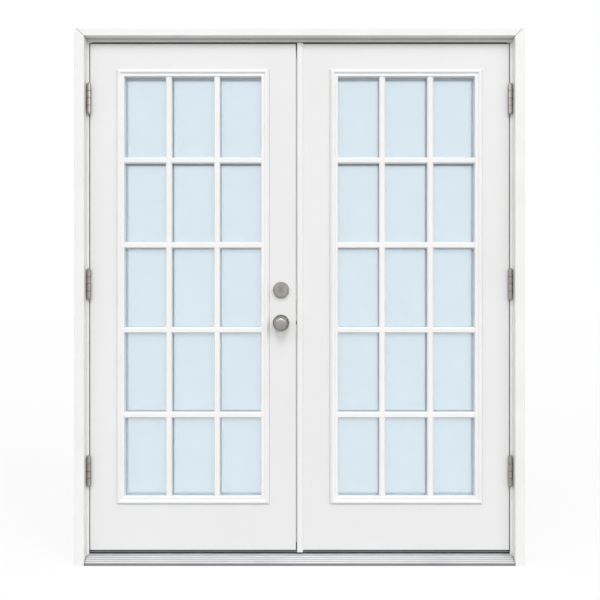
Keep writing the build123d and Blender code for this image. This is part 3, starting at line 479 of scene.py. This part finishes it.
# Seals: near-black rubber, partly the seals' own colour and partly painted shade for the dark gaps they line; the
# same materials dress the strips of painted shade below
sealAndShadeTone = {"color": (0.035, 0.036, 0.038), "shade": (0.06, 0.06, 0.062)}


def rubber(name, along):
    finish = Finish(name, sealAndShadeTone["color"], 0.62)
    grainScale = [1.0, 1.0, 1.0]
    grainScale[along] = 0.08
    grain = finish.noise(finish.stretched(grainScale), 700, 3, 0.6)
    finish.color(finish.ramp(grain, [(0.35, sealAndShadeTone["color"]), (0.65, sealAndShadeTone["shade"])]))
    finish.roughness(finish.spread(grain, 0.52, 0.74))
    finish.normal(finish.bump(grain, 0.2, 0.0003))
    return finish.material


uprightSealAndShade = rubber("sealAndShadeUpright", 2)
flatSealAndShade = rubber("sealAndShadeFlat", 0)
dress(uprightSealAndShade, "jamb_weatherstrips", "astragal_seal")
dress(flatSealAndShade, "bumper_seal", "active_bottom_sweep", "inactive_bottom_sweep")
print("seals done")

# Glass: one cool tint all over the outer pane, a little veiled, and a clear inner pane
glass = {
    "tint": (0.78, 0.885, 0.955),
    "veil": 0.3,
    "rough": 0.02,
    "iorValue": 1.45,
}


def paneGlass(name, tint, through):
    finish = Finish(name, tint, glass["rough"])
    finish.shader.inputs["Transmission Weight"].default_value = through
    finish.shader.inputs["IOR"].default_value = glass["iorValue"]
    return finish.material


for leaf in ("active", "inactive"):
    dress(paneGlass(f"{leaf}PaneTint", glass["tint"], 1.0 - glass["veil"]), f"{leaf}_outer_pane")
    dress(paneGlass(f"{leaf}PaneClear", (1, 1, 1), 1.0), f"{leaf}_inner_pane")
print("glass done")

# Small pieces made here: dark strips, beads and rings in the gaps and joints of the solids, most of them painted
# shade
modelling = {"facing": 0.95, "sharpEdge": 40, "smoothUnder": 35}


def startBlock(name, low, high):
    bpy.ops.object.select_all(action="DESELECT")
    middle = [(a + b) / 2 for a, b in zip(low, high)]
    bpy.ops.mesh.primitive_cube_add(size=1, location=middle, scale=[b - a for a, b in zip(low, high)])
    piece = bpy.context.object
    piece.name = name
    bpy.ops.object.transform_apply(location=True, rotation=True, scale=True)
    return piece


def startRing(name, inner, outer, depth, middle, turn, sides=40):
    # an edge circle, widened into a flat ring and drawn out to its depth
    bpy.ops.object.select_all(action="DESELECT")
    bpy.ops.mesh.primitive_circle_add(vertices=sides, radius=outer, fill_type="NOTHING", location=(0, 0, -depth / 2))
    piece = bpy.context.object
    piece.name = name
    bpy.ops.object.mode_set(mode="EDIT")
    bpy.ops.mesh.select_all(action="SELECT")
    bpy.ops.mesh.extrude_edges_move()
    bpy.ops.transform.resize(value=(inner / outer,) * 3, center_override=(0, 0, -depth / 2))
    bpy.ops.mesh.select_all(action="SELECT")
    bpy.ops.mesh.extrude_region_move(TRANSFORM_OT_translate={"value": (0, 0, depth)})
    bpy.ops.mesh.select_all(action="SELECT")
    bpy.ops.mesh.normals_make_consistent(inside=False)
    bpy.ops.object.mode_set(mode="OBJECT")
    piece.rotation_euler = turn
    piece.location = middle
    bpy.ops.object.transform_apply(location=True, rotation=True, scale=True)
    return piece


def selectFaces(piece, chosen):
    # into edit mode with the chosen faces selected and nothing else
    bpy.ops.object.mode_set(mode="EDIT")
    bpy.ops.mesh.select_mode(type="FACE")
    bpy.ops.mesh.select_all(action="DESELECT")
    bpy.ops.object.mode_set(mode="OBJECT")
    for polygon in piece.data.polygons:
        polygon.select = chosen(polygon)
    bpy.ops.object.mode_set(mode="EDIT")


def looksTo(polygon, facing):
    return polygon.normal.dot(Vector(facing)) > modelling["facing"]


def recess(piece, facing, border, depth):
    # a panel sunk into the faces that look one way
    selectFaces(piece, lambda polygon: looksTo(polygon, facing))
    bpy.ops.mesh.inset(thickness=border, depth=-depth)
    bpy.ops.object.mode_set(mode="OBJECT")


def pull(piece, facing, shift, part=lambda centre: True):
    # draws out the faces that look one way, all of them or those in one part of the piece
    selectFaces(piece, lambda polygon: looksTo(polygon, facing) and part(polygon.center))
    bpy.ops.mesh.extrude_region_move(TRANSFORM_OT_translate={"value": shift})
    bpy.ops.object.mode_set(mode="OBJECT")


def easeEdges(piece, width, segments=2):
    bpy.ops.object.mode_set(mode="EDIT")
    bpy.ops.mesh.select_mode(type="EDGE")
    bpy.ops.mesh.select_all(action="DESELECT")
    bpy.ops.mesh.edges_select_sharp(sharpness=math.radians(modelling["sharpEdge"]))
    bpy.ops.mesh.bevel(offset=width, segments=segments, affect="EDGES")
    bpy.ops.object.mode_set(mode="OBJECT")


def settle(piece, material, body):
    bpy.ops.object.select_all(action="DESELECT")
    piece.select_set(True)
    bpy.context.view_layer.objects.active = piece
    bpy.ops.object.shade_smooth_by_angle(angle=math.radians(modelling["smoothUnder"]))
    piece.data.materials.append(material)
    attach(piece, body)


alongY = (math.radians(90), 0, 0)
upright = (0, 0, 0)

# Dark strips of painted shade under the head jamb, over the sill and beside the hinge edges, for the dark lines of
# the gaps. Whether a real sealing strip sits just there isn't known
gapShade = {
    "clearance": 0.0010,
    "depth": 0.0125,
    "headGap": 0.006,
    "sunk": 0.0001,
    "proud": 0.0010,
    "lap": 0.0008,
    "ease": 0.0003,
    "sillDepth": (0.0006, 0.0080),
    "sillRise": 0.0022,
    "sillDrop": 0.0031,
    "sillBorder": 0.0014,
    "sillGroove": 0.0005,
    "sideThick": 0.0032,
    "sideDepth": (0.0020, 0.0095),
    "sideEnds": (0.002, 0.001),
    "sideBorder": 0.0012,
    "sideGroove": 0.0006,
    "hingeClear": 0.0590,
}


def fitHeadGapShade():
    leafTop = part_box("active_outer_skin")[1].z
    jambEdge = leafTop + gapShade["headGap"]
    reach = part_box("right_jamb")[0].x
    piece = startBlock("headGapShade", (-reach, 0, leafTop + gapShade["clearance"]),
                       (reach, gapShade["depth"], jambEdge - gapShade["sunk"]))
    pull(piece, (0, -1, 0), (0, -gapShade["proud"], 0))
    pull(piece, (0, 0, 1), (0, 0, gapShade["lap"]), lambda centre: centre.y < 0)
    easeEdges(piece, gapShade["ease"])
    settle(piece, flatSealAndShade, "frame")


def fitSillGapShade():
    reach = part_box("right_jamb")[0].x
    foot = leafFoot - gapShade["sillDrop"]
    front, back = gapShade["sillDepth"]
    piece = startBlock("sillGapShade", (-reach, front, foot), (reach, back, foot + gapShade["sillRise"]))
    recess(piece, (0, 0, 1), gapShade["sillBorder"], gapShade["sillGroove"])
    easeEdges(piece, gapShade["ease"])
    settle(piece, flatSealAndShade, "frame")


def fitSideGapShades():
    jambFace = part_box("right_jamb")[0].x
    low, high = (corner.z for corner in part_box("active_outer_skin"))
    front, back = gapShade["sideDepth"]
    stops = [low + gapShade["sideEnds"][0]]
    for level in knuckles["levels"].values():
        stops += [level - gapShade["hingeClear"], level + gapShade["hingeClear"]]
    stops.append(high - gapShade["sideEnds"][1])
    for side, sideName in ((-1, "Left"), (1, "Right")):
        inner, outer = side * (jambFace - gapShade["sideThick"]), side * (jambFace + gapShade["sunk"])
        for part in range(0, len(stops), 2):
            piece = startBlock(f"sideGapShade{sideName}{part // 2 + 1}", (min(inner, outer), front, stops[part]),
                               (max(inner, outer), back, stops[part + 1]))
            recess(piece, (-side, 0, 0), gapShade["sideBorder"], gapShade["sideGroove"])
            easeEdges(piece, gapShade["ease"])
            settle(piece, uprightSealAndShade, "frame")


# Thin strips of painted shade where the leaves meet, for the grey line there, and the strike lip that shows beside
# the latch, in near-black nickel as painted shade
meeting = {
    "gap": 0.004,
    "endClear": 0.004,
    "sunk": 0.0001,
    "stripDepth": (0.0040, 0.0090),
    "stripThick": 0.0018,
    "stripBorder": 0.0013,
    "stripGroove": 0.0006,
    "edgeDepth": (0.0020, 0.0120),
    "edgeThick": 0.0006,
    "edgeBorder": 0.0012,
    "edgeGroove": 0.0002,
    "edgeEase": 0.0001,
    "lipDepth": (0.0003, 0.0038),
    "lipThick": 0.0018,
    "lipHeight": 0.047,
    "lipBorder": 0.0009,
    "lipGroove": 0.0003,
    "lockClear": 0.034,
    "ease": 0.0003,
}


def fitMeetingStrips():
    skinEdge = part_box("active_outer_skin")[1].x
    face = skinEdge + meeting["gap"]
    low, high = (corner.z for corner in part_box("inactive_outer_skin"))
    foot, top = low + meeting["endClear"], high - meeting["endClear"]
    strip = startBlock("meetingGapShade", (face - meeting["stripThick"], meeting["stripDepth"][0], foot),
                       (face + meeting["sunk"], meeting["stripDepth"][1], top))
    recess(strip, (-1, 0, 0), meeting["stripBorder"], meeting["stripGroove"])
    easeEdges(strip, meeting["ease"])
    settle(strip, uprightSealAndShade, "inactive_leaf")
    lipFront, lipBack = meeting["lipDepth"]
    lip = startBlock("strikeLip", (face - meeting["lipThick"], lipFront, knobZ - meeting["lipHeight"] / 2),
                     (face + meeting["sunk"], lipBack, knobZ + meeting["lipHeight"] / 2))
    recess(lip, (-1, 0, 0), meeting["lipBorder"], meeting["lipGroove"])
    easeEdges(lip, meeting["ease"])
    settle(lip, darkNickel, "inactive_leaf")
    stops = [foot, knobZ - meeting["lockClear"], knobZ + meeting["lockClear"], boltZ - meeting["lockClear"],
             boltZ + meeting["lockClear"], top]
    edgeFront, edgeBack = meeting["edgeDepth"]
    for part in range(0, len(stops), 2):
        edge = startBlock(f"leafEdgeShade{part // 2 + 1}", (skinEdge - meeting["sunk"], edgeFront, stops[part]),
                          (skinEdge + meeting["edgeThick"], edgeBack, stops[part + 1]))
        recess(edge, (1, 0, 0), meeting["edgeBorder"], meeting["edgeGroove"])
        easeEdges(edge, meeting["edgeEase"])
        settle(edge, uprightSealAndShade, "active_leaf")


# Grey bead round each outer lite frame, at its joint with the skin: its grey is partly the joint's own and partly
# painted shade
bead = {"width": 0.0013, "height": 0.0007, "overlap": 0.0001, "ease": 0.0002}


def fitLiteBeads():
    for leaf in ("active", "inactive"):
        low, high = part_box(f"{leaf}_outer_lite_frame")
        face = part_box(f"{leaf}_outer_skin")[0].y
        reach = bead["width"]
        piece = startBlock(f"{leaf}LiteBead", (low.x - reach, face - bead["height"], low.z - reach),
                           (high.x + reach, face, high.z + reach))
        selectFaces(piece, lambda polygon: abs(polygon.normal.y) > modelling["facing"])
        bpy.ops.mesh.inset(thickness=reach - bead["overlap"], use_individual=True)
        bpy.ops.mesh.bridge_edge_loops()
        bpy.ops.object.mode_set(mode="OBJECT")
        easeEdges(piece, bead["ease"])
        settle(piece, beadGrey, f"{leaf}_leaf")


# Rings on the knob roses and round the keyway, and the key slot, in darkened nickel as painted shade: on the roses
# round the knobs, in the gap round the plug and in the keyway's hollow
rings = {
    "roseInner": 0.0268,
    "roseOuter": 0.0300,
    "roseDepth": 0.0016,
    "roseLift": 0.0004,
    "roseEase": 0.0005,
    "plugInner": 0.0076,
    "plugOuter": 0.0092,
    "plugDepth": 0.0010,
    "plugLift": 0.0002,
    "plugEase": 0.0003,
    "slotWidth": 0.0026,
    "slotHeight": 0.0100,
    "slotDrop": 0.0012,
    "slotDepth": (-0.0002, 0.0012),
    "slotBorder": 0.0005,
    "slotGroove": 0.0006,
    "slotEase": 0.0002,
}


def fitLockRings():
    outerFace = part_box("deadbolt_collar")[0].y
    ring = startRing("keywayRing", rings["plugInner"], rings["plugOuter"], rings["plugDepth"],
                     (lockX, outerFace - rings["plugLift"], boltZ), alongY)
    easeEdges(ring, rings["plugEase"])
    settle(ring, ringNickel, "active_leaf")
    front, back = (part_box("key_plug")[0].y + depth for depth in rings["slotDepth"])
    halfWide, halfHigh, level = rings["slotWidth"] / 2, rings["slotHeight"] / 2, boltZ - rings["slotDrop"]
    slot = startBlock("keywaySlot", (lockX - halfWide, front, level - halfHigh),
                      (lockX + halfWide, back, level + halfHigh))
    recess(slot, (0, -1, 0), rings["slotBorder"], rings["slotGroove"])
    easeEdges(slot, rings["slotEase"])
    settle(slot, slotDark, "plug")
    low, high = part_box("knob_roses")
    for name, face, way in (("outerRoseRing", low.y, -1), ("innerRoseRing", high.y, 1)):
        ring = startRing(name, rings["roseInner"], rings["roseOuter"], rings["roseDepth"],
                         (lockX, face - way * rings["roseLift"], knobZ), alongY)
        easeEdges(ring, rings["roseEase"])
        settle(ring, darkNickel, "active_leaf")


# Dark rings of painted shade over the thin gaps between the knuckles of the hinges
knuckles = {
    "across": 0.8325,
    "depth": -0.009,
    "levels": {"low": 0.364, "middle": 1.103, "high": 1.8355},
    "ringInner": 0.0074,
    "ringOuter": 0.0084,
    "ringHeight": 0.0020,
    "step": 0.0286,
    "ease": 0.0002,
    "sides": 32,
}


def fitKnuckleRings():
    for levelName, level in knuckles["levels"].items():
        for side, sideName in ((-1, "Left"), (1, "Right")):
            for step in (-1, 0, 1):
                middle = (side * knuckles["across"], knuckles["depth"], level + step * knuckles["step"])
                ring = startRing(f"{levelName}{sideName}Knuckle{step + 2}", knuckles["ringInner"],
                                 knuckles["ringOuter"], knuckles["ringHeight"], middle, upright, knuckles["sides"])
                easeEdges(ring, knuckles["ease"], 1)
                settle(ring, darkNickel, "frame")


beadGrey = astragalPaint("beadGrey", paint["beadColor"])
fitHeadGapShade()
fitSillGapShade()
fitSideGapShades()
fitMeetingStrips()
fitLiteBeads()
fitLockRings()
fitKnuckleRings()
print("small pieces done")

# Floor, backdrop, lights and camera
studio = {
    "floorSize": 60.0,
    "floorPale": 0.46,
    "floorSeen": 0.9,
    "keepShadow": 0.3,
    "cameraPlace": (0.0016, -2.30, 1.040),
    "lens": 34.8,
    "sensor": 36.0,
    "lampReach": 4,
    "worldStrength": 0.58,
    "lamps": {
        "softSun": ((0.0, -1.0, 1.1), 1.3, 26),
        "rightFill": ((1.2, -1.0, 0.8), 0.8, 34),
        "leftFill": ((-1.2, -1.0, 0.8), 0.52, 34),
    },
}


def studioFloor(name):
    # white where the lens, metal and glass see it, plain pale for the light on the object
    material = bpy.data.materials.new(name)
    material.use_nodes = True
    tree = material.node_tree
    tree.nodes.clear()

    def combine(operation, first, second):
        node = tree.nodes.new("ShaderNodeMath")
        node.operation = operation
        for value, slot in ((first, node.inputs[0]), (second, node.inputs[1])):
            if isinstance(value, bpy.types.NodeSocket):
                tree.links.new(value, slot)
            else:
                slot.default_value = value
        return node.outputs[0]

    out = tree.nodes.new("ShaderNodeOutputMaterial")
    path = tree.nodes.new("ShaderNodeLightPath")
    pale = tree.nodes.new("ShaderNodeBsdfDiffuse")
    level = tree.nodes.new("ShaderNodeMapRange")
    level.inputs["To Min"].default_value = studio["floorPale"]
    level.inputs["To Max"].default_value = studio["floorSeen"]
    tree.links.new(path.outputs["Is Camera Ray"], level.inputs["Value"])
    tree.links.new(level.outputs["Result"], pale.inputs["Color"])
    white = tree.nodes.new("ShaderNodeEmission")
    white.inputs["Strength"].default_value = 1.0
    seen = combine("MULTIPLY", path.outputs["Is Camera Ray"], 1 - studio["keepShadow"])
    mirrored = combine("MAXIMUM", path.outputs["Is Glossy Ray"], path.outputs["Is Transmission Ray"])
    mix = tree.nodes.new("ShaderNodeMixShader")
    tree.links.new(combine("MAXIMUM", seen, mirrored), mix.inputs["Fac"])
    tree.links.new(pale.outputs[0], mix.inputs[1])
    tree.links.new(white.outputs[0], mix.inputs[2])
    tree.links.new(mix.outputs[0], out.inputs["Surface"])
    return material


bpy.ops.object.select_all(action="DESELECT")
bpy.ops.mesh.primitive_plane_add(size=studio["floorSize"], location=(0, 0, 0))
floor = bpy.context.object
floor.name = "floor"
floor.data.materials.append(studioFloor("floorWhite"))

world = bpy.data.worlds.new("studioWorld")
bpy.context.scene.world = world
world.use_nodes = True
worldTree = world.node_tree
# white where the lens, metal and glass see it, plain pale for the light on the object
lightPath = worldTree.nodes.new("ShaderNodeLightPath")
seenWhite = worldTree.nodes.new("ShaderNodeMath")
seenWhite.operation = "MAXIMUM"
worldTree.links.new(lightPath.outputs["Is Camera Ray"], seenWhite.inputs[0])
worldTree.links.new(lightPath.outputs["Is Transmission Ray"], seenWhite.inputs[1])
anyWhite = worldTree.nodes.new("ShaderNodeMath")
anyWhite.operation = "MAXIMUM"
worldTree.links.new(seenWhite.outputs[0], anyWhite.inputs[0])
worldTree.links.new(lightPath.outputs["Is Glossy Ray"], anyWhite.inputs[1])
strength = worldTree.nodes.new("ShaderNodeMapRange")
strength.inputs["To Min"].default_value = studio["worldStrength"]
strength.inputs["To Max"].default_value = 1.0
worldTree.links.new(anyWhite.outputs[0], strength.inputs["Value"])
backgroundNode = worldTree.nodes["Background"]
backgroundNode.inputs["Color"].default_value = (1, 1, 1, 1)
worldTree.links.new(strength.outputs["Result"], backgroundNode.inputs["Strength"])

for lampName, (comesFrom, power, spread) in studio["lamps"].items():
    bpy.ops.object.light_add(type="SUN", location=[studio["lampReach"] * value for value in comesFrom])
    lamp = bpy.context.object
    lamp.name = lampName
    lamp.data.energy = power
    lamp.data.angle = math.radians(spread)
    lamp.rotation_euler = Vector(comesFrom).to_track_quat("Z", "Y").to_euler()

bpy.ops.object.camera_add(location=studio["cameraPlace"], rotation=(math.radians(90), 0, 0))
camera = bpy.context.object
camera.data.lens = studio["lens"]
camera.data.sensor_width = studio["sensor"]
bpy.context.scene.camera = camera
bpy.context.scene.view_settings.view_transform = "Standard"
print("studio done")
